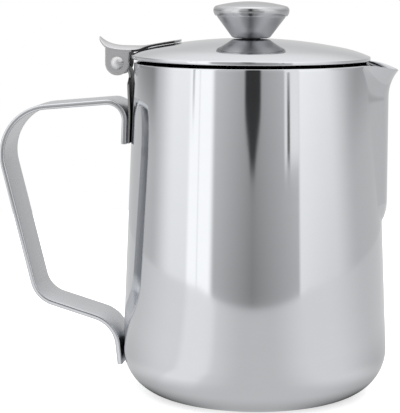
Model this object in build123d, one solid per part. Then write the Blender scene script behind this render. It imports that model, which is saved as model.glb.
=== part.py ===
from build123d import *
import os
from math import acos, asin, cos, degrees, radians, sin, sqrt, tan

# Hot milk jug with a hinged lid. Origin at the middle of the base, +Z up,
# spout towards +X, handle and hinge towards -X. Millimetres and degrees.

# Jug body, one sheet-steel pot with a pressed spout
base_radius = 60.0
base_corner_radius = 20.0
wall_taper = 2.55
rim_height = 149.5
body_sheet = 0.8

# Spout: a straight pressed ridge that runs out at its toe and flares to a lip
spout_stand = 5.2
spout_nose_radius = 18.0
spout_length = 70.5
spout_toe_run = 10.0
spout_toe_sink = 0.6
spout_bite = 0.45
spout_toe_bite_depth = 1.2
lip_height = 16.0
lip_reach = 7.1
lip_nose_radius = 10.0
lip_bite = 1.6
lip_dip_setback = 10.8
lip_dip_radius = 40.0

# Handle, a flat strap bent to shape
strap_width = 20.0
strap_thickness = 2.3
strap_edge_radius = 0.8
handle_tab_drop = 36.5
handle_arm_drop = 17.3
handle_reach = 62.2
handle_arm_fall = 5.6
grip_lean = 14.0
handle_heel_height = 40.9
handle_foot_height = 29.9
handle_foot_tilt = 6.0
handle_end_height = 12.3
top_bend_radius = 8.0
grip_bend_radius = 22.0
heel_bend_radius = 13.0
foot_bend_radius = 14.5
weld_gap = 0.05

# Hinge
pin_radius = 2.0
pin_standoff = 7.65
pin_drop = 0.65
pin_running_gap = 0.05
pin_fixed_gap = 0.02
rivet_head_radius = 3.0
rivet_head_height = 1.5
leaf_sheet = 1.0
leaf_leave_drop = 23.5
leaf_lean = 1.7
leaf_bend_radius = 40.0
neck_lean = 30.0
neck_bend_radius = 6.0
knuckle_wrap = 275.0
leaf_side_gap = 0.3
leaf_width = 19.0
leaf_neck_drop = 6.3
leaf_shoulder_drop = 4.5

# Lid
lid_rim_inset = 0.85
lid_setback = 2.2
lid_gap = 1.75
lid_tilt = 0.55
lid_sheet = 0.8
lid_crown_radius = 217.0
lid_shoulder_radius = 35.0
lid_shoulder_width = 11.0
lid_edge_radius = 0.35
lid_hem_height = 0.85

# Thumb lever: a strip arched across, which lies flat on the lid towards its toe
lever_width = 12.5
lever_sheet = 1.0
lever_rise = 7.2
lever_flat_offset = 5.9
thumb_reach = 15.0
thumb_rise = 3.85
thumb_corner = 5.9
toe_reach = 22.0
toe_corner = 4.0
lever_arch = 1.7
toe_arch = 0.06
toe_stand = 0.3
toe_pad_radius = 2.5
toe_pad_setback = 5.0
lever_blend_height = 1.6
ear_width = 10.9

# Knob
knob_sheet = 0.8
collar_radius = 4.2
collar_height = 0.25
bowl_foot_radius = 8.34
bowl_height = 9.2
bowl_cone_angle = 36.9
bowl_foot_round = 1.5
bowl_neck_height = 1.4
bowl_flange_width = 0.4
cap_radius = 17.0
cap_edge_radius = 2.0
cap_crown_radius = 62.0
cap_tuck_height = 2.5
cap_tuck_radius = 4.0
cap_seat_gap = 0.05
screw_radius = 2.0
screw_hole_gap = 0.25
screw_thread_gap = 0.05
screw_head_radius = 3.8
screw_head_height = 2.4
screw_tip = 0.8
nut_flats = 7.0
nut_height = 3.2
washer_radius = 5.0
washer_thickness = 0.8

# Places worked out from the sizes above
corner_centre = base_radius - base_corner_radius
wall_start_radius = corner_centre + base_corner_radius * cos(radians(wall_taper))
wall_start_height = base_corner_radius * (1 + sin(radians(wall_taper)))


def wall_radius(height):
    """Outer radius of the tapered wall."""
    return wall_start_radius - (height - wall_start_height) * tan(radians(wall_taper))


def off_wall(height, distance):
    """Radius of a line that stands off the wall, square to it."""
    return wall_radius(height) + distance / cos(radians(wall_taper))


rim_radius = wall_radius(rim_height)
spout_ridge = rim_radius + spout_stand
lid_radius = rim_radius - lid_rim_inset
toe_end_height = rim_height - spout_length
lip_start_height = rim_height - lip_height
pin_x = -(rim_radius + pin_standoff)
pin_height = rim_height - pin_drop
hem_height = rim_height + lid_gap
lever_flat_x = pin_x + lever_flat_offset
lever_flat_z = rim_height + lever_rise
screw_hole_radius = screw_radius + screw_hole_gap
trim_reach = 3 * base_radius

# Lid crown and shoulder arcs, each tangent to the next, from the hem upwards
shoulder_start = lid_radius - lid_shoulder_width
shoulder_angle = asin(shoulder_start / lid_crown_radius)
shoulder_centre_r = shoulder_start - lid_shoulder_radius * sin(shoulder_angle)
edge_centre_r = lid_radius - lid_edge_radius
edge_centre_z = hem_height + lid_hem_height
edge_span = edge_centre_r - shoulder_centre_r
shoulder_centre_z = edge_centre_z - sqrt((lid_shoulder_radius - lid_edge_radius) ** 2 - edge_span**2)
crown_centre_z = shoulder_centre_z - (lid_crown_radius - lid_shoulder_radius) * cos(shoulder_angle)
lid_top = crown_centre_z + lid_crown_radius
knob_bottom = lid_top + collar_height


def profile(*edges):
    """Closed face in the XZ plane from edges drawn as (x, z)."""
    return Plane.XZ * make_face(Curve() + list(edges))


def turned(*edges):
    """Solid of revolution about +Z from a half profile drawn as (radius, z)."""
    return revolve(profile(*edges), Axis.Z)


def ring(outer_radius, inner_radius, bottom, height):
    """Flat ring about +Z."""
    disc = Cylinder(outer_radius, height) - Cylinder(inner_radius, height)
    return Pos(0, 0, bottom + height / 2) * disc


def flat_strip(path, width, thickness, edge_radius=0.0):
    """Strip of sheet along a path in the XZ plane, its width along Y."""
    start = Plane(origin=path @ 0, x_dir=(0, 1, 0), z_dir=path % 0)
    if edge_radius:
        section = RectangleRounded(width, thickness, edge_radius)
    else:
        section = Rectangle(width, thickness)
    return sweep(start * section, path)


def pot_form(inset):
    """Filled form of the pot, without its spout, set in from the outer face."""
    top = rim_height + lip_reach
    corner = base_corner_radius - inset
    bend_end = (
        corner_centre + corner * cos(radians(wall_taper)),
        base_corner_radius + corner * sin(radians(wall_taper)),
    )
    wall_end = (off_wall(top, -inset), top)
    return turned(
        Line((0, inset), (corner_centre, inset)),
        CenterArc((corner_centre, base_corner_radius), corner, -90, 90 + wall_taper),
        Line(bend_end, wall_end),
        Line(wall_end, (0, top)),
        Line((0, top), (0, inset)),
    )


def spout_section(height, inset):
    """Rounded V of the spout at one height, its flanks ending inside the wall."""
    lip = max(0.0, height - lip_start_height) / lip_height
    low = max(0.0, lip_start_height - height) / (lip_start_height - toe_end_height)
    toe = max(0.0, toe_end_height + spout_toe_run - height) / spout_toe_run
    toe_fall = spout_ridge - wall_radius(toe_end_height) + spout_toe_sink
    nose = spout_ridge + lip_reach * lip**2.5 - toe_fall * (1 - sqrt(1 - toe**2))
    bite = spout_bite + spout_toe_bite_depth * low**2 + lip_bite * lip**2
    nose_radius = spout_nose_radius + (lip_nose_radius - spout_nose_radius) * lip
    centre = nose - nose_radius
    angle = acos((wall_radius(height) - bite - nose_radius) / centre)
    radius = nose_radius - inset
    bend = Vector(centre + radius * cos(angle), radius * sin(angle))
    reach = centre * cos(angle) + radius
    end = Vector(reach * cos(angle), reach * sin(angle))
    mirrored_bend = Vector(bend.X, -bend.Y)
    mirrored_end = Vector(end.X, -end.Y)
    outline = [
        Line(mirrored_end, mirrored_bend),
        ThreePointArc(mirrored_bend, (centre + radius, 0), bend),
        Line(bend, end),
        Line(end, mirrored_end),
    ]
    return Pos(0, 0, height) * make_face(Curve() + outline)


def spout_form(inset):
    """Filled form of the spout, from its toe to above the rim."""
    toe_steps = [toe_end_height + spout_toe_run * share for share in (0, 0.12, 0.35, 0.65, 1)]
    straight = lip_start_height - toe_steps[-1]
    ridge_steps = [toe_steps[-1] + straight * share for share in (0.33, 0.67, 1)]
    lip_steps = [lip_start_height + lip_height * share for share in (0.3, 0.55, 0.8, 1.1)]
    heights = toe_steps + ridge_steps + lip_steps
    return loft([spout_section(height, inset) for height in heights])


def rim_trim():
    """What is cut off above the rim, which dips along the spout's lip."""
    start = spout_ridge - lip_dip_setback
    sweep_angle = 45
    end_angle = radians(90 - sweep_angle)
    arc_end = (
        start + lip_dip_radius * cos(end_angle),
        rim_height - lip_dip_radius * (1 - sin(end_angle)),
    )
    outer = (trim_reach, arc_end[1])
    top = rim_height + trim_reach
    above = profile(
        Line((-trim_reach, rim_height), (start, rim_height)),
        CenterArc((start, rim_height - lip_dip_radius), lip_dip_radius, 90, -sweep_angle),
        Line(arc_end, outer),
        Line(outer, (trim_reach, top)),
        Line((trim_reach, top), (-trim_reach, top)),
        Line((-trim_reach, top), (-trim_reach, rim_height)),
    )
    return extrude(above, trim_reach, both=True)


def make_jug_body():
    outside = pot_form(0) + spout_form(0)
    inside = pot_form(body_sheet) + spout_form(body_sheet)
    return outside - inside - rim_trim()


def make_handle_strap():
    tab_stand = leaf_sheet + 2 * weld_gap + strap_thickness / 2
    tab_end = rim_height - handle_tab_drop
    arm_height = rim_height - handle_arm_drop
    tilt = radians(handle_foot_tilt)
    foot_stand = base_corner_radius + weld_gap + strap_thickness / 2

    def foot_x(height):
        rise = (height - base_corner_radius) * sin(tilt)
        return -(corner_centre + (foot_stand + rise) / cos(tilt))

    arm_x = -off_wall(arm_height, tab_stand)
    grip_x = arm_x - handle_reach
    grip_height = arm_height - handle_arm_fall
    heel_x = grip_x + (grip_height - handle_heel_height) * tan(radians(grip_lean))
    path = Plane.XZ * FilletPolyline(
        (-off_wall(tab_end, tab_stand), tab_end),
        (arm_x, arm_height),
        (grip_x, grip_height),
        (heel_x, handle_heel_height),
        (foot_x(handle_foot_height), handle_foot_height),
        (foot_x(handle_end_height), handle_end_height),
        radius=[top_bend_radius, grip_bend_radius, heel_bend_radius, foot_bend_radius],
    )
    return flat_strip(path, strap_width, strap_thickness, strap_edge_radius)


def make_hinge_leaf():
    leaf_stand = weld_gap + leaf_sheet / 2
    bottom = rim_height - handle_tab_drop
    leave = rim_height - leaf_leave_drop
    leave_x = -off_wall(leave, leaf_stand)
    roll_radius = pin_radius + pin_running_gap + leaf_sheet / 2
    lean = tan(radians(leaf_lean))
    neck = tan(radians(neck_lean))
    touch = Vector(
        pin_x + roll_radius * cos(radians(neck_lean)),
        pin_height + roll_radius * sin(radians(neck_lean)),
    )
    # Where the leaning run meets the neck, which runs into the roll round the pin
    neck_z = (touch.X + touch.Y * neck - leave_x - leave * lean) / (neck - lean)
    neck_x = leave_x - (neck_z - leave) * lean
    rise = FilletPolyline(
        (-off_wall(bottom, leaf_stand), bottom),
        (leave_x, leave),
        (neck_x, neck_z),
        touch,
        radius=[leaf_bend_radius, neck_bend_radius],
    )
    roll = CenterArc((pin_x, pin_height), roll_radius, neck_lean, knuckle_wrap)
    path = Plane.XZ * Wire(rise.edges() + [roll.edge()])
    half_neck = lever_width / 2 - lever_sheet - leaf_side_gap
    neck_foot = pin_height - leaf_neck_drop
    # The strip narrows over sloping shoulders to pass between the lever's ears
    beside_neck = Polyline(
        (half_neck, neck_foot),
        (half_neck, neck_foot + trim_reach),
        (leaf_width, neck_foot + trim_reach),
        (leaf_width, neck_foot - 2 * leaf_shoulder_drop),
        close=True,
    )
    cut_away = extrude(Plane.YZ * make_face(beside_neck), trim_reach, both=True)
    return flat_strip(path, leaf_width, leaf_sheet) - cut_away - mirror(cut_away, about=Plane.XZ)


def make_lid_cover():
    hem = lid_sheet
    inner_wall = lid_radius - 2 * hem
    shoulder_end = asin(edge_span / (lid_shoulder_radius - lid_edge_radius))
    inner_shoulder = lid_shoulder_radius - lid_sheet
    inner_end = asin((inner_wall - shoulder_centre_r) / inner_shoulder)
    inner_end_z = shoulder_centre_z + inner_shoulder * cos(inner_end)
    inner_crown = lid_crown_radius - lid_sheet
    hole = screw_hole_radius
    hole_top = crown_centre_z + sqrt(lid_crown_radius**2 - hole**2)
    hole_bottom = crown_centre_z + sqrt(inner_crown**2 - hole**2)
    crown = (0, crown_centre_z)
    shoulder = (shoulder_centre_r, shoulder_centre_z)
    start = degrees(shoulder_angle)
    cover = turned(
        CenterArc(crown, lid_crown_radius, 90 - start, start - degrees(asin(hole / lid_crown_radius))),
        CenterArc(shoulder, lid_shoulder_radius, 90 - degrees(shoulder_end), degrees(shoulder_end) - start),
        CenterArc((edge_centre_r, edge_centre_z), lid_edge_radius, 0, 90 - degrees(shoulder_end)),
        Line((lid_radius, edge_centre_z), (lid_radius, hem_height + hem)),
        CenterArc((lid_radius - hem, hem_height + hem), hem, 180, 180),
        Line((inner_wall, hem_height + hem), (inner_wall, inner_end_z)),
        CenterArc(shoulder, inner_shoulder, 90 - degrees(inner_end), degrees(inner_end) - start),
        CenterArc(crown, inner_crown, 90 - start, start - degrees(asin(hole / inner_crown))),
        Line((hole, hole_bottom), (hole, hole_top)),
    )
    return Pos(-lid_setback, 0, 0) * cover


def lid_height(radius):
    """Height of the lid's top face at a distance from its axis."""
    if radius < shoulder_start:
        return crown_centre_z + sqrt(lid_crown_radius**2 - radius**2)
    return shoulder_centre_z + sqrt(lid_shoulder_radius**2 - (radius - shoulder_centre_r) ** 2)


def seat_line(x):
    """Height of the lever's middle line where the lever lies close over the lid."""
    return lid_height(abs(x + lid_setback)) + toe_stand + lever_sheet


def lever_crown(x):
    """Height of the lever's middle line, from the raised thumb end down and over onto the lid."""
    thumb = max(0.0, lever_flat_x - x) / thumb_reach
    free_line = lever_flat_z + thumb_rise * thumb**3.4
    step = seat_line(x) - free_line
    if abs(step) >= lever_blend_height:
        return max(seat_line(x), free_line)
    return free_line + (step + lever_blend_height) ** 2 / (4 * lever_blend_height)


def lever_section(x, thickness):
    """Arched strip across the lever, wider than the lever so that its outline trims it."""
    arch = min(lever_arch, toe_arch + lever_crown(x) - seat_line(x))
    half = lever_width / 2
    bend = (half**2 + arch**2) / (2 * arch)
    side = 1.4 * half
    drop = bend - sqrt(bend**2 - side**2)
    top = lever_crown(x)
    under = top - thickness
    outline = [
        ThreePointArc((-side, top - drop), (0, top), (side, top - drop)),
        Line((side, top - drop), (side, under - drop)),
        ThreePointArc((side, under - drop), (0, under), (-side, under - drop)),
        Line((-side, under - drop), (-side, top - drop)),
    ]
    across_lever = Plane(origin=(x, 0, 0), x_dir=(0, 1, 0), z_dir=(1, 0, 0))
    return across_lever * make_face(Curve() + outline)


def lever_form(thickness):
    """The arched strip of the lever, before it is trimmed."""
    thumb_steps = [lever_flat_x - thumb_reach * share for share in (1, 0.85, 0.68, 0.45, 0.2)]
    toe_steps = [lever_flat_x + toe_reach * share for share in (0.05, 0.18, 0.31, 0.44, 0.57, 0.68, 0.79, 0.9, 1)]
    return loft([lever_section(x, thickness) for x in thumb_steps + toe_steps])


def lever_plan():
    """Outline of the lever from above, rounded at the thumb and at the toe."""
    left = lever_flat_x - thumb_reach
    right = lever_flat_x + toe_reach
    plan = Pos((left + right) / 2, 0, 0) * Rectangle(right - left, lever_width)
    corners = plan.vertices().sort_by(Axis.X)
    plan = fillet(corners[:2], thumb_corner)
    corners = [corner for corner in plan.vertices() if abs(corner.X - right) < 0.001]
    plan = fillet(corners, toe_corner)
    return extrude(plan, rim_height + trim_reach)


def make_ears():
    """The two ears, bent down from the sides of the arched strip."""
    top = lever_flat_z + thumb_rise
    flank_height = top - pin_height
    flank = Pos(pin_x, pin_height + flank_height / 2) * Rectangle(ear_width, flank_height)
    outline = flank + Pos(pin_x, pin_height) * Circle(ear_width / 2)
    pair = extrude(Plane.XZ * outline, lever_width / 2, both=True)
    pair = pair - extrude(Plane.XZ * outline, lever_width / 2 - lever_sheet, both=True)
    return pair & lever_form(lever_rise + ear_width)


def make_toe_pad():
    """The raised weld spot under the toe, which stands on the lid."""
    x = lever_flat_x + toe_reach - toe_pad_setback
    nearest = abs(x + lid_setback) - toe_pad_radius
    bottom = lid_height(nearest) + weld_gap
    top = lever_crown(x) - lever_sheet / 2
    return Pos(x, 0, (bottom + top) / 2) * Cylinder(toe_pad_radius, top - bottom)


def across(radius, length):
    """Round bar along Y, centred on the hinge pin's axis."""
    return Pos(pin_x, 0, pin_height) * Rot(90, 0, 0) * Cylinder(radius, length)


def make_thumb_lever():
    plate = lever_form(lever_sheet) & lever_plan()
    lever = plate + make_ears() + make_toe_pad()
    return lever - across(pin_radius + pin_fixed_gap, 2 * lever_width)


def make_hinge_pin():
    seat = lever_width / 2 + pin_fixed_gap
    dome_radius = (rivet_head_radius**2 + rivet_head_height**2) / (2 * rivet_head_height)
    dome = Sphere(dome_radius) & Pos(0, 0, dome_radius - rivet_head_height / 2) * Cylinder(
        rivet_head_radius, rivet_head_height
    )
    head = Pos(0, 0, seat + rivet_head_height - dome_radius) * dome
    rivet = Cylinder(pin_radius, 2 * seat) + head + Rot(180, 0, 0) * head
    return Pos(pin_x, 0, pin_height) * Rot(90, 0, 0) * rivet


def on_knob_axis(piece):
    return Pos(-lid_setback, 0, 0) * piece


def make_knob_collar():
    return on_knob_axis(ring(collar_radius, screw_hole_radius, lid_top, collar_height))


def make_knob_bowl():
    slope = tan(radians(bowl_cone_angle))
    slant = knob_sheet / cos(radians(bowl_cone_angle))
    cone_top = knob_bottom + bowl_height
    mouth = bowl_foot_radius + bowl_height * slope
    neck_top = cone_top + bowl_neck_height
    flange = mouth + bowl_flange_width
    floor = knob_bottom + knob_sheet
    inner_foot = bowl_foot_radius + knob_sheet * slope - slant
    inner_mouth = mouth - knob_sheet
    inner_cone_top = floor + (inner_mouth - inner_foot) / slope
    hole = screw_hole_radius
    outline = Polyline(
        (hole, knob_bottom),
        (bowl_foot_radius, knob_bottom),
        (mouth, cone_top),
        (mouth, neck_top),
        (flange, neck_top),
        (flange, neck_top + knob_sheet),
        (inner_mouth, neck_top + knob_sheet),
        (inner_mouth, inner_cone_top),
        (inner_foot, floor),
        (hole, floor),
        close=True,
    )
    bowl = turned(outline)
    foot_edges = bowl.edges().filter_by(GeomType.CIRCLE).filter_by(
        lambda edge: abs(edge.radius - bowl_foot_radius) < 0.001
    )
    return on_knob_axis(fillet(foot_edges, bowl_foot_round))


def make_knob_cap():
    mouth = bowl_foot_radius + bowl_height * tan(radians(bowl_cone_angle))
    lip_bottom = knob_bottom + bowl_height + bowl_neck_height - cap_seat_gap - knob_sheet
    wide = lip_bottom + cap_tuck_height
    edge_r = cap_radius - cap_edge_radius
    crown_lean = asin(edge_r / (cap_crown_radius - cap_edge_radius))
    crown_centre = wide - (cap_crown_radius - cap_edge_radius) * cos(crown_lean)
    lean = degrees(crown_lean)
    tuck_r = cap_radius - cap_tuck_radius
    tuck_turn = asin(cap_tuck_height / cap_tuck_radius)
    tuck_end = tuck_r + cap_tuck_radius * cos(tuck_turn)
    inner_tuck = cap_tuck_radius - knob_sheet
    lip_top = lip_bottom + knob_sheet
    inner_turn = asin((wide - lip_top) / inner_tuck)
    inner_end = tuck_r + inner_tuck * cos(inner_turn)
    inner_edge = cap_edge_radius - knob_sheet
    inner_crown = cap_crown_radius - knob_sheet
    lip_r = mouth + cap_seat_gap
    cap = turned(
        CenterArc((0, crown_centre), cap_crown_radius, 90 - lean, lean),
        CenterArc((edge_r, wide), cap_edge_radius, 0, 90 - lean),
        CenterArc((tuck_r, wide), cap_tuck_radius, 0, -degrees(tuck_turn)),
        Line((tuck_end, lip_bottom), (lip_r, lip_bottom)),
        Line((lip_r, lip_bottom), (lip_r, lip_top)),
        Line((lip_r, lip_top), (inner_end, lip_top)),
        CenterArc((tuck_r, wide), inner_tuck, 0, -degrees(inner_turn)),
        CenterArc((edge_r, wide), inner_edge, 0, 90 - lean),
        CenterArc((0, crown_centre), inner_crown, 90 - lean, lean),
        Line((0, crown_centre + inner_crown), (0, crown_centre + cap_crown_radius)),
    )
    return on_knob_axis(cap)


def make_knob_nut():
    hexagon = RegularPolygon(nut_flats / 2, 6, major_radius=False)
    bored = hexagon - Circle(screw_radius + screw_thread_gap)
    return on_knob_axis(Pos(0, 0, knob_bottom + knob_sheet) * extrude(bored, nut_height))


def washer_top():
    """Under face of the lid at the washer's rim."""
    inner_crown = lid_crown_radius - lid_sheet
    return crown_centre_z + sqrt(inner_crown**2 - washer_radius**2)


def make_knob_washer():
    bottom = washer_top() - washer_thickness
    return on_knob_axis(ring(washer_radius, screw_hole_radius, bottom, washer_thickness))


def make_knob_screw():
    head_top = washer_top() - washer_thickness
    head = Cylinder(screw_head_radius, screw_head_height)
    rim = head.edges().filter_by(GeomType.CIRCLE).sort_by(Axis.Z)[0]
    head = Pos(0, 0, head_top - screw_head_height / 2) * fillet(rim, screw_head_height / 2)
    tip = knob_bottom + knob_sheet + nut_height + screw_tip
    shank = Pos(0, 0, (head_top + tip) / 2) * Cylinder(screw_radius, tip - head_top)
    return on_knob_axis(head + shank)


def closed(piece):
    """A piece of the lid as it lies when shut, tipped down a little towards the spout."""
    return piece.rotate(Axis((pin_x, 0, pin_height), (0, 1, 0)), lid_tilt)


nodes = {
    "jug_body": make_jug_body(),
    "handle_strap": make_handle_strap(),
    "hinge_leaf": make_hinge_leaf(),
    "lid_cover": closed(make_lid_cover()),
    "thumb_lever": closed(make_thumb_lever()),
    "hinge_pin": closed(make_hinge_pin()),
    "knob_collar": closed(make_knob_collar()),
    "knob_bowl": closed(make_knob_bowl()),
    "knob_cap": closed(make_knob_cap()),
    "knob_nut": closed(make_knob_nut()),
    "knob_washer": closed(make_knob_washer()),
    "knob_screw": closed(make_knob_screw()),
}

os.makedirs("parts", exist_ok=True)
for name, piece in nodes.items():
    export_step(piece, f"parts/{name}.step")
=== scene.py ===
from math import asin, cos, degrees, pi, radians, sin, sqrt, tan

import bmesh
import bpy
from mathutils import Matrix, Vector


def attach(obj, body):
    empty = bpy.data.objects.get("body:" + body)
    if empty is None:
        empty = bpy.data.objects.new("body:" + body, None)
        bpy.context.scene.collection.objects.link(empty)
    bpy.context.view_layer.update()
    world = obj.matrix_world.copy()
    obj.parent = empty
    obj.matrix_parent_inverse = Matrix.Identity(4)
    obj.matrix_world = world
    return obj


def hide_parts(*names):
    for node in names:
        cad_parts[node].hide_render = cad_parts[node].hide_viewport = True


# Hot milk jug with a hinged lid. Origin at the middle of the base, +Z up,
# spout towards +X, handle and hinge towards -X. The jug's sizes are in millimetres
# and degrees, those of the studio in metres and degrees.

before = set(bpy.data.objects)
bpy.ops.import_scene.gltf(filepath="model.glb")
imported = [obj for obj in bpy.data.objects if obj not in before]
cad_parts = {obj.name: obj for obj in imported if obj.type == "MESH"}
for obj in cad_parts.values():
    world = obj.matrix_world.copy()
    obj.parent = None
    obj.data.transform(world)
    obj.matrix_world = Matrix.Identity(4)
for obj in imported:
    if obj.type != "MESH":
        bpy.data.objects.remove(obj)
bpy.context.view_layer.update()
mm = 0.001

# Jug body
base_radius = 60.0
base_corner_radius = 20.0
wall_taper = 2.55
rim_height = 149.5
body_sheet = 0.8

# Spout
spout_stand = 5.2
spout_nose_radius = 18.0
spout_length = 70.5
spout_toe_run = 10.0
spout_toe_sink = 0.6
spout_bite = 0.45
spout_toe_bite_depth = 1.2
lip_height = 16.0
lip_reach = 7.1
lip_flare_power = 2.5
lip_nose_radius = 10.0
lip_bite = 1.6
lip_dip_setback = 10.8
lip_dip_radius = 40.0
crease_softness = 0.12

# Handle
strap_width = 25.0
strap_thickness = 2.3
strap_edge_radius = 0.8
handle_tab_drop = 36.5
handle_arm_drop = 17.0
handle_reach = 62.5
handle_arm_fall = 5.6
grip_lean = 13.75
handle_heel_height = 41.6
handle_foot_height = 30.6
handle_foot_tilt = 6.0
handle_end_height = 11.7
top_bend_radius = 8.0
grip_bend_radius = 22.0
heel_bend_radius = 13.0
foot_bend_radius = 14.5
weld_gap = 0.05

# Hinge
pin_radius = 2.0
pin_standoff = 7.65
pin_drop = 0.65
pin_fixed_gap = 0.02
rivet_head_radius = 3.0
rivet_head_height = 1.5
leaf_sheet = 1.0
leaf_edge_radius = 0.15
lever_width = 12.5
lever_edge_radius = 0.4

# Lid
lid_rim_inset = 0.85
lid_setback = 2.2
lid_gap = 1.75
lid_tilt = 0.55
lid_sheet = 0.8
lid_crown_radius = 217.0
lid_shoulder_radius = 54.562
lid_shoulder_width = 11.0
lid_edge_radius = 0.35
lid_hem_height = 1.6

# Knob
knob_sheet = 0.8
collar_radius = 4.2
collar_height = 0.25
bowl_foot_radius = 8.34
bowl_height = 9.2
bowl_cone_angle = 36.9
bowl_foot_round = 1.5
bowl_neck_height = 1.4
bowl_flange_width = 0.4
cap_radius = 17.0
cap_edge_radius = 2.0
cap_crown_radius = 62.0
cap_tuck_height = 2.5
cap_tuck_radius = 4.0
cap_seat_gap = 0.05
screw_hole_radius = 2.25

# How finely the shapes are drawn, the last two lengths in metres
plain_wall_margin = 8.0
same_point = 1e-6
least_radius = 1e-6
merge_distance = 2e-6
flat_angle = 0.5
cut_edge_angle = 35.0
crease_angle = 40.0
strap_crease_angle = 50.0

# Places worked out from the sizes above
corner_centre = base_radius - base_corner_radius
wall_slope = tan(radians(wall_taper))
wall_start_radius = corner_centre + base_corner_radius * cos(radians(wall_taper))
wall_start_height = base_corner_radius * (1 + sin(radians(wall_taper)))


def wall_radius(height):
    """Outer radius of the tapered wall."""
    return wall_start_radius - (height - wall_start_height) * wall_slope


def off_wall(height, distance):
    """Radius of a line that stands off the wall, square to it."""
    return wall_radius(height) + distance / cos(radians(wall_taper))


rim_radius = wall_radius(rim_height)
spout_ridge = rim_radius + spout_stand
lid_radius = rim_radius - lid_rim_inset
toe_end_height = rim_height - spout_length
lip_dip_start = spout_ridge - lip_dip_setback
toe_fall = spout_ridge - wall_radius(toe_end_height) + spout_toe_sink
pin_x = -(rim_radius + pin_standoff)
pin_height = rim_height - pin_drop
hem_height = rim_height + lid_gap
shoulder_start = lid_radius - lid_shoulder_width
shoulder_angle = asin(shoulder_start / lid_crown_radius)
shoulder_centre_r = shoulder_start - lid_shoulder_radius * sin(shoulder_angle)
edge_centre_r = lid_radius - lid_edge_radius
edge_centre_z = hem_height + lid_hem_height
edge_span = edge_centre_r - shoulder_centre_r
shoulder_centre_z = edge_centre_z - sqrt((lid_shoulder_radius - lid_edge_radius) ** 2 - edge_span**2)
crown_centre_z = shoulder_centre_z - (lid_crown_radius - lid_shoulder_radius) * cos(shoulder_angle)
lid_top = crown_centre_z + lid_crown_radius
knob_bottom = lid_top + collar_height


def tip_height():
    """Height of the spout's tip, where its flare meets the dipped rim, found step by step."""
    drop = 0.0
    for _ in range(40):
        lip = (lip_height - drop) / lip_height
        reach = spout_ridge + lip_reach * lip**lip_flare_power - lip_dip_start
        dip = lip_dip_radius - sqrt(lip_dip_radius**2 - reach**2)
        drop = (drop + dip) / 2
    return rim_height - drop


# Outlines, drawn as (radius, height) or (x, z)


def arc(centre, radius, start, sweep, steps):
    """Points along a round stretch, its angles in degrees."""
    angles = [radians(start + sweep * i / steps) for i in range(steps + 1)]
    return [(centre[0] + radius * cos(a), centre[1] + radius * sin(a)) for a in angles]


def straight(start, end, steps):
    """Evenly spaced points along a straight stretch."""
    shares = [i / steps for i in range(steps + 1)]
    return [tuple(a + (b - a) * s for a, b in zip(start, end)) for s in shares]


def outline(*runs):
    """One line through several runs, each starting where the last one ended."""
    points = []
    for run in runs:
        for point in run:
            if not points or max(abs(a - b) for a, b in zip(point, points[-1])) > same_point:
                points.append(point)
    return points


def drawn_line(name, points, bend_radii=None):
    """A line of edges in the XZ plane, with a bend radius at each corner if given."""
    mesh = bpy.data.meshes.new(name)
    places = [(x * mm, 0, z * mm) for x, z in points]
    mesh.from_pydata(places, [(i, i + 1) for i in range(len(places) - 1)], [])
    if bend_radii:
        bend = mesh.attributes.new("bend_radius", "FLOAT", "POINT")
        bend.data.foreach_set("value", [radius * mm for radius in bend_radii])
    line = bpy.data.objects.new(name, mesh)
    bpy.context.collection.objects.link(line)
    return line


# Node trees


class Field:
    """A number that runs through a node tree, with plain arithmetic."""

    def __init__(self, tree, socket):
        self.tree = tree
        self.socket = socket

    def made(self, operation, *terms):
        node = self.tree.nodes.new("ShaderNodeMath")
        node.operation = operation
        for socket, term in zip(node.inputs, terms):
            feed(self.tree, socket, term)
        return Field(self.tree, node.outputs[0])

    def __add__(self, other):
        return self.made("ADD", self, other)

    def __radd__(self, other):
        return self.made("ADD", other, self)

    def __sub__(self, other):
        return self.made("SUBTRACT", self, other)

    def __rsub__(self, other):
        return self.made("SUBTRACT", other, self)

    def __mul__(self, other):
        return self.made("MULTIPLY", self, other)

    def __truediv__(self, other):
        return self.made("DIVIDE", self, other)

    def __pow__(self, other):
        return self.made("POWER", self, other)

    def at_least(self, low):
        return self.made("MAXIMUM", self, low)

    def at_most(self, high):
        return self.made("MINIMUM", self, high)

    def below(self, other):
        return self.made("LESS_THAN", self, other)

    def sine(self):
        return self.made("SINE", self)

    def cosine(self):
        return self.made("COSINE", self)

    def root(self):
        return self.made("SQRT", self.at_least(0.0))

    def size(self):
        return self.made("ABSOLUTE", self)

    def whole(self):
        return self.made("FLOOR", self)

    def rise(self, start, end):
        """0 before start, 1 after end, with a soft step between."""
        node = self.tree.nodes.new("ShaderNodeMapRange")
        node.interpolation_type = "SMOOTHSTEP"
        feed(self.tree, node.inputs["Value"], self)
        feed(self.tree, node.inputs["From Min"], start)
        feed(self.tree, node.inputs["From Max"], end)
        return Field(self.tree, node.outputs["Result"])

    def band(self, start, full, fading, end):
        """1 from full to fading, 0 outside start and end, with soft steps between."""
        return self.rise(start, full) * (1.0 - self.rise(fading, end))


def feed(tree, socket, term):
    """Sets an input, or links it if the term runs through the tree."""
    if isinstance(term, Field):
        tree.links.new(term.socket, socket)
    elif isinstance(term, bpy.types.NodeSocket):
        tree.links.new(term, socket)
    else:
        socket.default_value = term


def node_of(tree, kind, settings=None, **inputs):
    """A new node, its inputs named by their labels with _ for spaces."""
    node = tree.nodes.new(kind)
    for name, value in (settings or {}).items():
        setattr(node, name, value)
    for name, term in inputs.items():
        feed(tree, node.inputs[name.replace("_", " ")], term)
    return node


def parts_of(tree, vector):
    """The x, y and z of a vector, as fields."""
    node = node_of(tree, "ShaderNodeSeparateXYZ", Vector=vector)
    return [Field(tree, socket) for socket in node.outputs]


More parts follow.
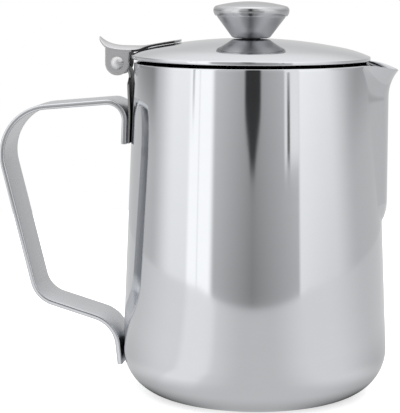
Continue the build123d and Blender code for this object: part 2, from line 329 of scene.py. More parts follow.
def mixed(tree, share, first, second):
    """A colour between two others. Colours have the later sockets of a Mix node."""
    node = node_of(tree, "ShaderNodeMix", {"data_type": "RGBA"})
    for socket, term in zip((0, 6, 7), (share, first, second)):
        feed(tree, node.inputs[socket], term)
    return node.outputs[2]


def blended(tree, share, first, second):
    """A shader that turns from the first into the second with the share."""
    node = node_of(tree, "ShaderNodeMixShader", Fac=share)
    tree.links.new(first.outputs[0], node.inputs[1])
    tree.links.new(second.outputs[0], node.inputs[2])
    return node


def shape_tree(name, sizes):
    """An empty geometry tree with a named input for each size."""
    tree = bpy.data.node_groups.new(name, "GeometryNodeTree")
    tree.interface.new_socket(name="Geometry", in_out="INPUT", socket_type="NodeSocketGeometry")
    tree.interface.new_socket(name="Geometry", in_out="OUTPUT", socket_type="NodeSocketGeometry")
    for size, kind in sizes.items():
        tree.interface.new_socket(name=size, in_out="INPUT", socket_type="NodeSocket" + kind)
    return tree, tree.nodes.new("NodeGroupInput"), tree.nodes.new("NodeGroupOutput")


def close_tree(tree, ends, geometry, material):
    """The end of every tree: instances made real, material set."""
    real = node_of(tree, "GeometryNodeRealizeInstances", Geometry=geometry)
    smooth = node_of(tree, "GeometryNodeSetShadeSmooth", Geometry=real.outputs[0])
    finished = node_of(tree, "GeometryNodeSetMaterial", Geometry=smooth.outputs[0], Material=material)
    tree.links.new(finished.outputs[0], ends.inputs[0])


def spun_tree():
    """Turns an outline about its axis, then lays the axis where the piece needs it."""
    tree, start, ends = shape_tree(
        "spun_sheet",
        {
            "Segments": "Int",
            "Crowding": "Float",
            "Axis Turn": "Rotation",
            "Axis Place": "Vector",
            "Material": "Material",
        },
    )
    line = start.outputs["Geometry"]
    rows = node_of(tree, "GeometryNodeAttributeDomainSize", Geometry=line).outputs["Point Count"]
    segments = Field(tree, start.outputs["Segments"])
    grid = node_of(tree, "GeometryNodeMeshGrid", Vertices_X=segments + 1, Vertices_Y=rows)
    index = Field(tree, tree.nodes.new("GeometryNodeInputIndex").outputs[0])
    column = ((index + 0.5) / rows).whole()
    row = index - column * rows
    place = tree.nodes.new("GeometryNodeInputPosition").outputs[0]
    sample = node_of(
        tree, "GeometryNodeSampleIndex", {"data_type": "FLOAT_VECTOR"}, Geometry=line, Value=place, Index=row
    )
    radius, _, height = parts_of(tree, sample.outputs[0])
    even = column / segments * (2 * pi) - pi
    angle = even - even.sine() * start.outputs["Crowding"]
    turned = node_of(
        tree, "ShaderNodeCombineXYZ", X=radius * angle.cosine(), Y=radius * angle.sine(), Z=height
    )
    spun = node_of(tree, "GeometryNodeSetPosition", Geometry=grid.outputs["Mesh"], Position=turned.outputs[0])
    closed = node_of(
        tree, "GeometryNodeMergeByDistance", Geometry=spun.outputs[0], Distance=merge_distance
    )
    laid = node_of(
        tree,
        "GeometryNodeTransform",
        Geometry=closed.outputs[0],
        Rotation=start.outputs["Axis Turn"],
        Translation=start.outputs["Axis Place"],
    )
    close_tree(tree, ends, laid.outputs[0], start.outputs["Material"])
    return tree


spout_sizes = {
    "Rim Height": rim_height,
    "Rim Radius": rim_radius,
    "Ridge": spout_ridge,
    "Nose Radius": spout_nose_radius,
    "Lip Nose Radius": lip_nose_radius,
    "Toe Height": toe_end_height,
    "Toe Run": spout_toe_run,
    "Toe Fall": toe_fall,
    "Lip Height": lip_height,
    "Lip Reach": lip_reach,
    "Bite": spout_bite,
    "Toe Bite": spout_toe_bite_depth,
    "Lip Bite": lip_bite,
    "Dip Start": lip_dip_start,
    "Dip Radius": lip_dip_radius,
    "Tip Height": tip_height(),
    "Crease Softness": crease_softness,
}


def spout_tree():
    """Presses the spout into the spun pot: a rounded V, its flanks ending in the wall."""
    inputs = {name: "Float" for name in spout_sizes}
    tree, start, ends = shape_tree("pressed_spout", {**inputs, "Wall Slope": "Float", "Material": "Material"})
    size = {name: Field(tree, start.outputs[name]) for name in inputs}
    slope = Field(tree, start.outputs["Wall Slope"])
    lip_start = size["Rim Height"] - size["Lip Height"]

    def wall(height):
        return size["Rim Radius"] + (size["Rim Height"] - height) * slope

    def stand(azimuth, height):
        """How far the spout's face stands off the wall."""
        lip = (height - lip_start).at_least(0.0) / size["Lip Height"]
        low = ((lip_start - height) / (lip_start - size["Toe Height"])).at_least(0.0).at_most(1.0)
        toe = ((size["Toe Height"] + size["Toe Run"] - height) / size["Toe Run"]).at_least(0.0).at_most(1.0)
        sunk = size["Toe Fall"] * (1.0 - (1.0 - toe * toe).root())
        nose = size["Ridge"] + size["Lip Reach"] * lip**lip_flare_power - sunk
        bite = size["Bite"] + size["Toe Bite"] * low * low + size["Lip Bite"] * lip * lip
        nose_radius = size["Nose Radius"] + (size["Lip Nose Radius"] - size["Nose Radius"]) * lip
        centre = nose - nose_radius
        flank_cosine = ((wall(height) - bite - nose_radius) / centre).at_most(1.0)
        flank = flank_cosine.made("ARCCOSINE", flank_cosine)
        bend_y = nose_radius * flank.sine()
        bend = bend_y.made("ARCTAN2", bend_y, centre + nose_radius * flank.cosine())
        flat_face = (wall(height) - bite) / (azimuth.at_most(flank) - flank).cosine()
        side = centre * azimuth.sine()
        round_face = centre * azimuth.cosine() + (nose_radius * nose_radius - side * side).root()
        on_round = azimuth.below(bend)
        return round_face * on_round + flat_face * (1.0 - on_round) - wall(height)

    def dip_below_rim(height):
        """How far the rim dips where the lip, at about this height, reaches past the dip's start."""
        lip_x = (wall(height) + stand(azimuth, height).at_least(0.0)) * azimuth.cosine()
        past = (lip_x - size["Dip Start"]).at_least(0.0)
        return size["Dip Radius"] - (size["Dip Radius"] * size["Dip Radius"] - past * past).root()

    place = tree.nodes.new("GeometryNodeInputPosition").outputs[0]
    x, y, height = parts_of(tree, place)
    radius = (x * x + y * y).root().at_least(least_radius)
    azimuth = y.made("ARCTAN2", y, x).size()
    dip = dip_below_rim(size["Tip Height"])
    dip = dip_below_rim(size["Rim Height"] - dip)
    share = ((height - lip_start) / size["Lip Height"]).at_least(0.0)
    dipped = height - dip * share
    proud = stand(azimuth, dipped)
    softness = size["Crease Softness"]
    push = (proud + (proud * proud + softness * softness).root()) * 0.5
    grown = (radius + push + wall(dipped) - wall(height)) / radius
    moved = node_of(tree, "ShaderNodeCombineXYZ", X=x * grown, Y=y * grown, Z=dipped)
    pressed = node_of(
        tree, "GeometryNodeSetPosition", Geometry=start.outputs["Geometry"], Position=moved.outputs[0]
    )
    close_tree(tree, ends, pressed.outputs[0], start.outputs["Material"])
    return tree


def strap_tree():
    """A flat strap with rounded edges along a bent line."""
    tree, start, ends = shape_tree(
        "bent_strap",
        {
            "Width": "Float",
            "Thickness": "Float",
            "Edge Radius": "Float",
            "Bend Steps": "Int",
            "Material": "Material",
        },
    )
    path = node_of(tree, "GeometryNodeMeshToCurve", Mesh=start.outputs["Geometry"])
    bend = node_of(tree, "GeometryNodeInputNamedAttribute", {"data_type": "FLOAT"}, Name="bend_radius")
    bent = node_of(
        tree,
        "GeometryNodeFilletCurve",
        {"mode": "POLY"},
        Curve=path.outputs[0],
        Count=start.outputs["Bend Steps"],
        Radius=bend.outputs[0],
    )
    section = node_of(
        tree,
        "GeometryNodeCurvePrimitiveQuadrilateral",
        Width=start.outputs["Width"],
        Height=start.outputs["Thickness"],
    )
    rounded = node_of(
        tree,
        "GeometryNodeFilletCurve",
        {"mode": "POLY"},
        Curve=section.outputs[0],
        Count=6,
        Radius=start.outputs["Edge Radius"],
    )
    swept = node_of(
        tree,
        "GeometryNodeCurveToMesh",
        Curve=bent.outputs[0],
        Profile_Curve=rounded.outputs[0],
        Fill_Caps=True,
    )
    close_tree(tree, ends, swept.outputs[0], start.outputs["Material"])
    return tree


def with_tree(piece, tree, **sizes):
    """Puts a tree on a piece, its sizes set by socket identifier."""
    modifier = piece.modifiers.new(tree.name, "NODES")
    modifier.node_group = tree
    for socket in tree.interface.items_tree:
        key = socket.name.replace(" ", "_").lower()
        if socket.in_out == "INPUT" and key in sizes:
            modifier[socket.identifier] = sizes[key]


def made_plain(piece, sharp_angle):
    """Turns what the modifiers make into the piece's own mesh."""
    evaluated = piece.evaluated_get(bpy.context.evaluated_depsgraph_get())
    mesh = bpy.data.meshes.new_from_object(evaluated)
    piece.modifiers.clear()
    piece.data = mesh
    mesh.name = piece.name
    if sharp_angle:
        mesh.set_sharp_from_angle(angle=radians(sharp_angle))


# Finishes. A face becomes a side or an underside between two shares of its normal.

line_share = 0.7
cloud_scale = 35.0
relief_depth = 0.1
side_face = (0.6, 0.95)
under_face = (0.2, 0.5)
shade_tone = (0.05, 0.05, 0.055, 1)
shade_softness = 0.5


def steel(
    name,
    base_color,
    roughness,
    tint_spread,
    gloss_spread,
    grain,
    bump=0.0,
    side_roughness=0.0,
    painted_shade_past=None,
    lit_edge_tone=None,
    soft_edge=0.0,
):
    """Bare steel whose tone and gloss vary along a grain given by its scale on each axis; it can also paint
    shade on cut edges and undersides, or paint cut edges lighter.
    """
    material = bpy.data.materials.new(name)
    material.use_nodes = True
    tree = material.node_tree
    shader = tree.nodes["Principled BSDF"]
    shader.inputs["Metallic"].default_value = 1.0
    coordinates = tree.nodes.new("ShaderNodeTexCoord")
    place = coordinates.outputs["Object"]
    laid = node_of(tree, "ShaderNodeMapping", Vector=place, Scale=grain)
    lines = node_of(tree, "ShaderNodeTexNoise", Vector=laid.outputs[0], Scale=1.0, Detail=4.0, Roughness=0.6)
    cloud = node_of(tree, "ShaderNodeTexNoise", Vector=place, Scale=cloud_scale, Detail=2.0)
    blend = Field(tree, lines.outputs["Fac"]) * line_share
    blend = blend + Field(tree, cloud.outputs["Fac"]) * (1 - line_share)
    gloss = blend * (2 * gloss_spread) + (roughness - gloss_spread)
    x, _, _ = parts_of(tree, place)
    _, across, up = parts_of(tree, coordinates.outputs["Normal"])
    sideways = across.size().rise(*side_face)
    if side_roughness:
        gloss = gloss + sideways * (side_roughness - gloss)
    feed(tree, shader.inputs["Roughness"], gloss)
    dark, bright = [[c * (1 + spread) for c in base_color] for spread in (-tint_spread, tint_spread)]
    color = mixed(tree, blend, (*dark, 1), (*bright, 1))
    if lit_edge_tone is not None:
        # Cut edges painted lighter than the faces: painted light on the edges
        color = mixed(tree, sideways, color, (lit_edge_tone, lit_edge_tone, lit_edge_tone, 1))
    if painted_shade_past is not None:
        # Painted shade: cut edges and the face below painted dark where they lie close over another piece
        shaded_face = sideways.at_least((up * -1.0).rise(*under_face))
        over = x.rise((painted_shade_past - shade_softness) * mm, (painted_shade_past + shade_softness) * mm)
        color = mixed(tree, shaded_face * over, color, shade_tone)
    tree.links.new(color, shader.inputs["Base Color"])
    if bump:
        relief = node_of(
            tree, "ShaderNodeBump", Strength=bump, Distance=relief_depth * mm, Height=lines.outputs["Fac"]
        )
        tree.links.new(relief.outputs[0], shader.inputs["Normal"])
        if soft_edge:
            worn = node_of(tree, "ShaderNodeBevel", {"samples": 8}, Radius=soft_edge * mm)
            tree.links.new(worn.outputs[0], relief.inputs["Normal"])
    return material


along_strap = (25, 1600, 25)
round_knob = (20, 20, 2600)
polished_steel = steel(
    "polished_steel",
    base_color=(0.608, 0.62, 0.642),
    roughness=0.06,
    tint_spread=0.02,
    gloss_spread=0.02,
    grain=(40, 40, 160),
)
knob_cap_steel = steel(
    "knob_cap_steel",
    base_color=(0.47, 0.475, 0.485),
    roughness=0.16,
    tint_spread=0.05,
    gloss_spread=0.03,
    grain=round_knob,
    bump=0.03,
)
satin_steel = steel(
    "satin_steel",
    base_color=(0.574, 0.584, 0.605),
    roughness=0.28,
    tint_spread=0.06,
    gloss_spread=0.05,
    grain=along_strap,
    bump=0.10,
    side_roughness=0.16,
)
# The lever's cut edges and underside past x = -55.5 mm get painted shade where it lies over the lid.
pressed_steel = steel(
    "pressed_steel",
    base_color=(0.52, 0.52, 0.53),
    roughness=0.28,
    tint_spread=0.05,
    gloss_spread=0.05,
    grain=along_strap,
    bump=0.05,
    side_roughness=0.5,
    painted_shade_past=-55.5,
    soft_edge=0.9,
)
brushed_knob_steel = steel(
    "brushed_knob_steel",
    base_color=(0.43, 0.433, 0.447),
    roughness=0.30,
    tint_spread=0.10,
    gloss_spread=0.06,
    grain=round_knob,
    bump=0.15,
)
rivet_steel = steel(
    "rivet_steel",
    base_color=(0.70, 0.70, 0.71),
    roughness=0.50,
    tint_spread=0.03,
    gloss_spread=0.04,
    grain=(300, 300, 300),
)
shaded_steel_finish = {
    "roughness": 0.42,
    "tint_spread": 0.12,
    "gloss_spread": 0.06,
    "grain": along_strap,
    "bump": 0.08,
}
# Near-black steel as painted shade: on the knob's collar, in the crevice under the knob, and on the hinge
# leaf, in the gap by the wall, whose cut edges are painted lighter as painted light.
dark_steel = steel("dark_steel", (0.12, 0.12, 0.125), **shaded_steel_finish)
leaf_steel = steel("leaf_steel", (0.10, 0.10, 0.105), side_roughness=0.3, lit_edge_tone=0.40, **shaded_steel_finish)

# Pieces of the jug


def pot_outline():
    """Half section of the sheet pot: base, corner, wall, rim, then back down the inside."""
    half = body_sheet / 2
    rim_side = rim_height - half
    inner_corner = base_corner_radius - body_sheet
    inner_bend = (
        corner_centre + inner_corner * cos(radians(wall_taper)),
        base_corner_radius + inner_corner * sin(radians(wall_taper)),
    )
    plain_top = toe_end_height - plain_wall_margin
    outer_side = (off_wall(rim_side, 0), rim_side)
    inner_side = (off_wall(rim_side, -body_sheet), rim_side)
    turn = 90 + wall_taper
    return outline(
        straight((0, 0), (corner_centre, 0), 6),
        arc((corner_centre, base_corner_radius), base_corner_radius, -90, turn, 28),
        straight((wall_start_radius, wall_start_height), (wall_radius(plain_top), plain_top), 10),
        straight((wall_radius(plain_top), plain_top), outer_side, 84),
        arc((off_wall(rim_side, -half), rim_side), half, 0, 180, 8),
        straight(inner_side, (off_wall(plain_top, -body_sheet), plain_top), 44),
        straight((off_wall(plain_top, -body_sheet), plain_top), inner_bend, 4),
        arc((corner_centre, base_corner_radius), inner_corner, wall_taper, -turn, 12),
        straight((corner_centre, body_sheet), (0, body_sheet), 3),
    )


def lid_outline():
    """Half section of the lid: underside from the screw hole out, hem, then the dome."""
    hem = lid_sheet
    inner_wall = lid_radius - 2 * hem
    shoulder_end = degrees(asin(edge_span / (lid_shoulder_radius - lid_edge_radius)))
    inner_shoulder = lid_shoulder_radius - lid_sheet
    inner_end = degrees(asin((inner_wall - shoulder_centre_r) / inner_shoulder))
    crown = (0, crown_centre_z)
    shoulder = (shoulder_centre_r, shoulder_centre_z)
    start = degrees(shoulder_angle)
    inner_crown = lid_crown_radius - lid_sheet
    hole_in = degrees(asin(screw_hole_radius / inner_crown))
    hole_out = degrees(asin(screw_hole_radius / lid_crown_radius))
    hem_turn = (lid_radius - hem, hem_height + hem)
    line = outline(
        arc(crown, inner_crown, 90 - hole_in, hole_in - start, 10),
        arc(shoulder, inner_shoulder, 90 - start, start - inner_end, 8),
        arc(hem_turn, hem, 180, 180, 12),
        [(lid_radius, edge_centre_z)],
        arc((edge_centre_r, edge_centre_z), lid_edge_radius, 0, 90 - shoulder_end, 8),
        arc(shoulder, lid_shoulder_radius, 90 - shoulder_end, shoulder_end - start, 16),
        arc(crown, lid_crown_radius, 90 - start, start - hole_out, 24),
    )
    return line + line[:1]


def bowl_outline():
    """Half section of the knob's cone-shaped cup, from its foot hole outwards."""
    slope = tan(radians(bowl_cone_angle))
    slant = knob_sheet / cos(radians(bowl_cone_angle))
    cone_top = knob_bottom + bowl_height
    mouth = bowl_foot_radius + bowl_height * slope
    neck_top = cone_top + bowl_neck_height
    flange = mouth + bowl_flange_width
    floor = knob_bottom + knob_sheet
    inner_foot = bowl_foot_radius + knob_sheet * slope - slant
    inner_mouth = mouth - knob_sheet
    inner_cone_top = floor + (inner_mouth - inner_foot) / slope
    foot_turn = 90 - bowl_cone_angle
    foot_r = bowl_foot_radius - bowl_foot_round * tan(radians(foot_turn / 2))
    foot_centre = (foot_r, knob_bottom + bowl_foot_round)
    line = outline(
        [(screw_hole_radius, knob_bottom)],
        arc(foot_centre, bowl_foot_round, -90, foot_turn, 8),
        [(mouth, cone_top), (mouth, neck_top), (flange, neck_top), (flange, neck_top + knob_sheet)],
        [(inner_mouth, neck_top + knob_sheet), (inner_mouth, inner_cone_top)],
        [(inner_foot, floor), (screw_hole_radius, floor)],
    )
    return line + line[:1]


def cap_outline():
    """Half section of the knob's cap: inner dome outwards, closed lip, then the crown."""
    mouth = bowl_foot_radius + bowl_height * tan(radians(bowl_cone_angle))
    lip_bottom = knob_bottom + bowl_height + bowl_neck_height - cap_seat_gap - knob_sheet
    wide = lip_bottom + cap_tuck_height
    edge_r = cap_radius - cap_edge_radius
    lean = asin(edge_r / (cap_crown_radius - cap_edge_radius))
    crown = (0, wide - (cap_crown_radius - cap_edge_radius) * cos(lean))
    lean = degrees(lean)
    tuck_centre = (cap_radius - cap_tuck_radius, wide)
    tuck_turn = degrees(asin(cap_tuck_height / cap_tuck_radius))
    inner_tuck = cap_tuck_radius - knob_sheet
    lip_top = lip_bottom + knob_sheet
    inner_turn = degrees(asin((wide - lip_top) / inner_tuck))
    inner_edge = cap_edge_radius - knob_sheet
    lip_r = mouth + cap_seat_gap
    return outline(
        arc(crown, cap_crown_radius - knob_sheet, 90, -lean, 6),
        arc((edge_r, wide), inner_edge, 90 - lean, lean - 90, 5),
        arc(tuck_centre, inner_tuck, 0, -inner_turn, 5),
        [(lip_r, lip_top), (lip_r, lip_bottom)],
        arc(tuck_centre, cap_tuck_radius, -tuck_turn, tuck_turn, 10),
        arc((edge_r, wide), cap_edge_radius, 0, 90 - lean, 14),
        arc(crown, cap_crown_radius, 90 - lean, lean, 24),
    )


def collar_outline():
    """Half section of the short neck under the knob."""
    line = [
        (screw_hole_radius, lid_top),
        (collar_radius, lid_top),
        (collar_radius, knob_bottom),
        (screw_hole_radius, knob_bottom),
    ]
    return line + line[:1]


def rivet_outline():
    """Half section of the hinge rivet along its own axis, a domed head on each end."""
    seat = lever_width / 2 + pin_fixed_gap
    dome = (rivet_head_radius**2 + rivet_head_height**2) / (2 * rivet_head_height)
    top = seat + rivet_head_height
    spread = degrees(asin(rivet_head_radius / dome))
    return outline(
        arc((0, dome - top), dome, -90, spread, 10),
        [(rivet_head_radius, -seat), (pin_radius, -seat), (pin_radius, seat), (rivet_head_radius, seat)],
        arc((0, top - dome), dome, 90 - spread, spread, 10),
    )


def handle_line():
    """Middle line of the handle's strap and the bend radius at each of its corners."""
    tab_stand = leaf_sheet + 2 * weld_gap + strap_thickness / 2
    tab_end = rim_height - handle_tab_drop
    arm_height = rim_height - handle_arm_drop
    tilt = radians(handle_foot_tilt)
    foot_stand = base_corner_radius + weld_gap + strap_thickness / 2

    def foot_x(height):
        rise = (height - base_corner_radius) * sin(tilt)
        return -(corner_centre + (foot_stand + rise) / cos(tilt))

    arm_x = -off_wall(arm_height, tab_stand)
    grip_x = arm_x - handle_reach
    grip_height = arm_height - handle_arm_fall
    heel_x = grip_x + (grip_height - handle_heel_height) * tan(radians(grip_lean))
    corners = [
        (-off_wall(tab_end, tab_stand), tab_end),
        (arm_x, arm_height),
        (grip_x, grip_height),
        (heel_x, handle_heel_height),
        (foot_x(handle_foot_height), handle_foot_height),
        (foot_x(handle_end_height), handle_end_height),
    ]
    return corners, [0, top_bend_radius, grip_bend_radius, heel_bend_radius, foot_bend_radius, 0]


def shut_axis():
    """Foot of the lid's axis once the lid, tipped about the hinge pin, is shut."""
    tilt = radians(lid_tilt)
    along = -lid_setback - pin_x
    x = pin_x + along * cos(tilt) - pin_height * sin(tilt)
    z = pin_height - along * sin(tilt) - pin_height * cos(tilt)
    return (x * mm, 0, z * mm)


spun_sheet = spun_tree()
pressed_spout = spout_tree()
bent_strap = strap_tree()
lid_turn = (0, radians(lid_tilt), 0)


def dressed(piece, node, body, sharp_angle=0.0):
    """Turns the piece into plain mesh and puts it in the place of its CAD node."""
    made_plain(piece, sharp_angle)
    piece.name = node + "_piece"
    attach(piece, body)
    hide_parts(node)


def spun(node, points, segments, material, place, turn, crowding=0.0):
    """A piece turned from its half section. Crowding draws the segments towards the spout."""
    piece = drawn_line(node, points)
    with_tree(
        piece,
        spun_sheet,
        segments=segments,
        crowding=crowding,
        axis_turn=turn,
        axis_place=place,
        material=material,
    )
    return piece


def bevelled_copy(node, edge_radius, material):
    """A pressed-sheet piece: its CAD node's shape, merged, with its cut edges rounded."""
    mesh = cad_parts[node].data.copy()
    mesh.materials.clear()
    mesh.materials.append(material)
    form = bmesh.new()
    form.from_mesh(mesh)
    bmesh.ops.remove_doubles(form, verts=form.verts, dist=merge_distance)
    bmesh.ops.dissolve_limit(form, angle_limit=radians(flat_angle), verts=form.verts, edges=form.edges)
    least = radians(cut_edge_angle)
    cut = [edge for edge in form.edges if edge.is_manifold and edge.calc_face_angle() > least]
    bmesh.ops.bevel(
        form,
        geom=cut,
        offset=edge_radius * mm,
        segments=3,
        profile=0.5,
        affect="EDGES",
        clamp_overlap=True,
    )
    form.to_mesh(mesh)
    form.free()
    mesh.shade_smooth()
    mesh.set_sharp_from_angle(angle=radians(crease_angle))
    piece = bpy.data.objects.new(node, mesh)
    bpy.context.collection.objects.link(piece)
    weighted = piece.modifiers.new("face_weight", "WEIGHTED_NORMAL")
    weighted.keep_sharp = True
    return piece


jug_body = spun(
    "jug_body",
    pot_outline(),
    segments=420,
    material=polished_steel,
    place=(0, 0, 0),
    turn=(0, 0, 0),
    crowding=0.5,
)
with_tree(
    jug_body,
    pressed_spout,
    wall_slope=wall_slope,
    material=polished_steel,
    **{name.replace(" ", "_").lower(): value * mm for name, value in spout_sizes.items()},
)
dressed(jug_body, "jug_body", "jug")

handle_strap = drawn_line("handle_strap", *handle_line())
with_tree(
    handle_strap,
    bent_strap,
    width=strap_width * mm,
    thickness=strap_thickness * mm,
    edge_radius=strap_edge_radius * mm,
    bend_steps=16,
    material=satin_steel,
)
dressed(handle_strap, "handle_strap", "jug", strap_crease_angle)

# The hinge leaf's near-black tone is painted shade, its lighter cut edges painted light.
hinge_leaf = bevelled_copy("hinge_leaf", leaf_edge_radius, leaf_steel)
dressed(hinge_leaf, "hinge_leaf", "jug")

thumb_lever = bevelled_copy("thumb_lever", lever_edge_radius, pressed_steel)
dressed(thumb_lever, "thumb_lever", "lid")

pin_place = (pin_x * mm, 0, pin_height * mm)
hinge_pin = spun(
    "hinge_pin",
    rivet_outline(),
    segments=48,
    material=rivet_steel,
    place=pin_place,
    turn=(pi / 2, 0, 0),
)
dressed(hinge_pin, "hinge_pin", "lid", crease_angle)

# Half section, segments, finish and slot of each piece on the lid's axis
lid_pieces = {
    "lid_cover": (lid_outline(), 360, polished_steel, "polished_steel"),
    # The collar's near-black steel is painted shade under the knob.
    "knob_collar": (collar_outline(), 64, dark_steel, "dark_steel"),
    "knob_bowl": (bowl_outline(), 160, brushed_knob_steel, "brushed_knob_steel"),
    "knob_cap": (cap_outline(), 200, knob_cap_steel, "polished_steel"),
}
for name, (half_section, segments, material, slot) in lid_pieces.items():
    piece = spun(name, half_section, segments, material, shut_axis(), lid_turn)
    dressed(piece, name, "lid", crease_angle)

for name in ("knob_nut", "knob_washer", "knob_screw"):
    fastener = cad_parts[name]
    fastener.data.materials.clear()
    fastener.data.materials.append(rivet_steel)

# Studio: a pale floor under a room of soft panels, white behind the jug

camera_place = Vector((0.0788, -0.7256, 0.1911))
camera_pitch = 8.34
camera_turn = 8.15
camera_lens = 141.69
camera_sensor = 36.0
camera_azimuth = degrees(asin(camera_place.x / camera_place.xy.length))
white = (1, 1, 1, 1)
floor_radius = 0.56
floor_tones = ((0.84, 0.84, 0.84, 1), (0.86, 0.86, 0.86, 1))
floor_glow = 0.62
mirrored_floor = 0.76
mirrored_floor_end = 0.455
mirrored_floor_bow = 0.05
bow_turn = 38.0
mirrored_floor_softness = 0.03
left_glare = 0.25
streak_glare = 0.13
right_glare = 0.22
side_shade = 0.13
corner_shade = 0.23
contact_shade = 0.24
contact_side_shade = 0.30
panel_top_softness = 2.0
stand_turn = -2.2
stand_foot = 2.0
stand_flare = 5.2
stand_softness = 1.5
stand_tone = 0.05
ceiling_tone = 1.90


def turn_from_camera(x, y):
    """Degrees round the jug from the side that faces the camera, rising to its right."""
    return x.made("ARCTAN2", x, y * -1.0) * degrees(1) - camera_azimuth


def floor_finish():
    """Pale floor, white to the camera but for the jug's shadow, that ends softly at the lights."""
    material = bpy.data.materials.new("pale_floor")
    material.use_nodes = True
    tree = material.node_tree
    tree.nodes.remove(tree.nodes["Principled BSDF"])
    place = tree.nodes.new("ShaderNodeTexCoord").outputs["Object"]
    speckle = node_of(tree, "ShaderNodeTexNoise", Vector=place, Scale=90.0, Detail=3.0)
    tone = mixed(tree, speckle.outputs["Fac"], *floor_tones)
    surface = node_of(tree, "ShaderNodeBsdfDiffuse", Color=tone)
    glow = node_of(tree, "ShaderNodeEmission", Strength=floor_glow)
    lit_surface = tree.nodes.new("ShaderNodeAddShader")
    tree.links.new(surface.outputs[0], lit_surface.inputs[0])
    tree.links.new(glow.outputs[0], lit_surface.inputs[1])
    x, y, _ = parts_of(tree, place)
    turn = turn_from_camera(x, y)
    out = (x * x + y * y).root()
    # What the steel sees of the floor, with light and shade painted in: brighter before the two lights,
    # painted shadow close to the jug
    left_light = turn.band(-125.0, -65.0, -44.0, -6.0) * left_glare
    left_streak = turn.band(-62.0, -54.0, -36.0, -28.0) * streak_glare
    right_light = turn.band(10.0, 45.0, 60.0, 110.0) * right_glare
    glare = (left_light + left_streak + right_light) * out.rise(0.056, 0.088)
    aside = turn.size()
    beside = aside.rise(45.0, 100.0) * (1.0 - out.rise(0.09, 0.22)) * side_shade
    under = aside.rise(25.0, 70.0) * (1.0 - out.rise(0.052, 0.074)) * corner_shade
    shadow = (contact_shade + aside.rise(8.0, 42.0) * contact_side_shade) * (1.0 - out.rise(0.044, 0.060))
    level = mirrored_floor + glare - beside - under - shadow
    mirrored = node_of(tree, "ShaderNodeEmission", Strength=level)
    # It ends at a curved edge, past which the steel sees the room
    edge = mirrored_floor_end + (turn * turn / bow_turn**2).at_most(1.5) * mirrored_floor_bow
    clear = tree.nodes.new("ShaderNodeBsdfTransparent")
    ended = blended(tree, out.rise(edge, edge + mirrored_floor_softness), mirrored, clear)
    ray = tree.nodes.new("ShaderNodeLightPath").outputs
    unseen = blended(tree, ray["Is Glossy Ray"], surface, ended)
    shown = blended(tree, ray["Is Camera Ray"], unseen, lit_surface)
    tree.links.new(shown.outputs[0], tree.nodes["Material Output"].inputs["Surface"])
    return material


def pale_floor():
    """A round floor under the jug."""
    form = bmesh.new()
    bmesh.ops.create_circle(form, cap_ends=True, segments=180, radius=floor_radius)
    mesh = bpy.data.meshes.new("floor")
    form.to_mesh(mesh)
    form.free()
    mesh.materials.append(floor_finish())
    floor = bpy.data.objects.new("floor", mesh)
    bpy.context.collection.objects.link(floor)


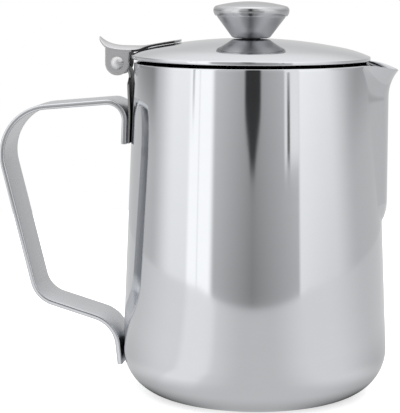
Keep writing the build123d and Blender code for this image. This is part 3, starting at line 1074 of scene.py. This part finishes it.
def studio_room():
    """The room as the steel sees it: tall soft panels, a darker camera side, a white back."""
    world = bpy.data.worlds.new("studio_room")
    bpy.context.scene.world = world
    world.use_nodes = True
    tree = world.node_tree
    direction = tree.nodes.new("ShaderNodeTexCoord").outputs["Generated"]
    x, y, z = parts_of(tree, direction)
    turn = turn_from_camera(x, y)
    lift = z.made("ARCSINE", z.at_least(-1.0).at_most(1.0)) * degrees(1)

    def panel(level, tone, edges, softness, lowest=None, low_softness=0.5, highest=None):
        """Lays a panel of one tone over the room, between two turns from the camera."""
        (left, right), (left_soft, right_soft) = edges, softness
        inside = turn.band(left - left_soft, left + left_soft, right - right_soft, right + right_soft)
        if lowest is not None:
            inside = inside * lift.rise(lowest - low_softness, lowest + low_softness)
        if highest is not None:
            inside = inside * (1.0 - lift.rise(highest - panel_top_softness, highest + panel_top_softness))
        return level + inside * (tone - level)

    near_level = lift.at_least(-8.0).at_most(4.0)
    # Walls, brighter towards the ceiling
    level = 0.69 + lift.rise(15.0, 31.0) * 0.24 + lift.rise(24.0, 42.0) * 0.20 + lift.rise(40.0, 60.0) * 0.15
    # Dark gap at the far left
    level = panel(level, 0.36, (-152, -106), (8, 6), lowest=-2.2, low_softness=1.5, highest=4.0)
    # Left light, with its brightest part, a seam in that and a post before it
    level = panel(level, 1.30 + near_level * 0.018, (-92, -37), (14, 3))
    level = panel(level, 1.52, (-62, -40), (2, 2))
    level = panel(level, 1.28, (-52.6, -51.4), (0.6, 0.6))
    level = panel(level, 0.80, (-59.6, -57.4), (0.5, 0.5), lowest=-0.4, low_softness=1.2)
    # Dim camera side, a pale strip at its right end and a dark post before that
    dim = 0.44 + (turn + 2.0).size() * 0.0086 - turn * 0.001 + near_level * 0.018
    level = panel(level, dim, (-37, 39), (2.5, 1.5))
    level = panel(level, 1.16, (26.5, 40), (1.2, 1.5), lowest=-2.0)
    level = panel(level, 0.14, (29.0, 31.5), (0.7, 0.7), lowest=-1.9, low_softness=0.3, highest=1.5)
    # Right light, and the dark gap past it
    right_tone = 1.31 + near_level * 0.026 - (turn - 40.0) * 0.0042
    level = panel(level, right_tone, (40, 83 - near_level * 1.4), (1.5, 16))
    level = panel(level, 0.48, (98, 150), (12, 15), lowest=-2.2, low_softness=1.8, highest=4.0)
    # A dark stand straight ahead, narrower towards the floor, and a bright ceiling
    half_width = stand_foot + lift.rise(-2.2, 0.3) * stand_flare
    aside = (turn - stand_turn).size()
    stand = 1.0 - aside.rise(half_width - stand_softness, half_width + stand_softness)
    level = level + stand * lift.rise(-2.5, -1.7) * (stand_tone - level)
    level = level + lift.rise(56.0, 76.0) * (ceiling_tone - level)
    soft_light = node_of(tree, "ShaderNodeBackground", Color=white, Strength=level)
    backdrop = node_of(tree, "ShaderNodeBackground", Color=white, Strength=1.0)
    seen = tree.nodes.new("ShaderNodeLightPath").outputs["Is Camera Ray"]
    shown = blended(tree, seen, soft_light, backdrop)
    tree.links.new(shown.outputs[0], tree.nodes["World Output"].inputs["Surface"])
    tree.nodes.remove(tree.nodes["Background"])


def front_camera():
    """A level camera a little above the lid, looking down at the jug."""
    camera = bpy.data.objects.new("camera", bpy.data.cameras.new("camera"))
    camera.location = camera_place
    camera.rotation_euler = (radians(90 - camera_pitch), 0, radians(camera_turn))
    camera.data.lens = camera_lens
    camera.data.sensor_width = camera_sensor
    bpy.context.collection.objects.link(camera)
    bpy.context.scene.camera = camera


pale_floor()
studio_room()
front_camera()
bpy.context.scene.view_settings.view_transform = "Standard"
